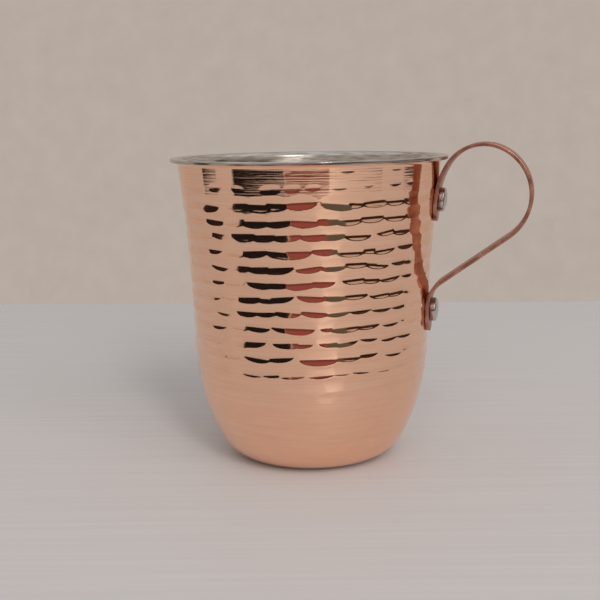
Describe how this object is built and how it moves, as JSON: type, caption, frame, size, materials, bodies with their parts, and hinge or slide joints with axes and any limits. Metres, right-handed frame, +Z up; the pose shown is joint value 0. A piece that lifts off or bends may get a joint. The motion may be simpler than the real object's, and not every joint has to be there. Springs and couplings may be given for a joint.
{
  "type": "hammered copper mug",
  "caption": "Hammered copper mug with a tinned inside, a turned-out rim, a rounded base and a looped strap handle riveted on.",
  "frame": {"origin": "centre of the flat base, on the mug's axis, at table level", "axes": "+Z up along the mug's axis, +X out through the middle of the handle, Y across the handle"},
  "size_m": [0.1168, 0.09, 0.1031],
  "materials": {
    "hammered_copper": "polished, hammered",
    "strap_copper": "polished, lightly brushed",
    "tin": "wiped tin, satin",
    "rivet_metal": "satin"
  },
  "bodies": {
    "root": {"mug_body": "hammered_copper", "tin_lining": "tin", "handle_strap": "strap_copper", "upper_rivet": "rivet_metal", "lower_rivet": "rivet_metal"}
  },
  "joints": []
}
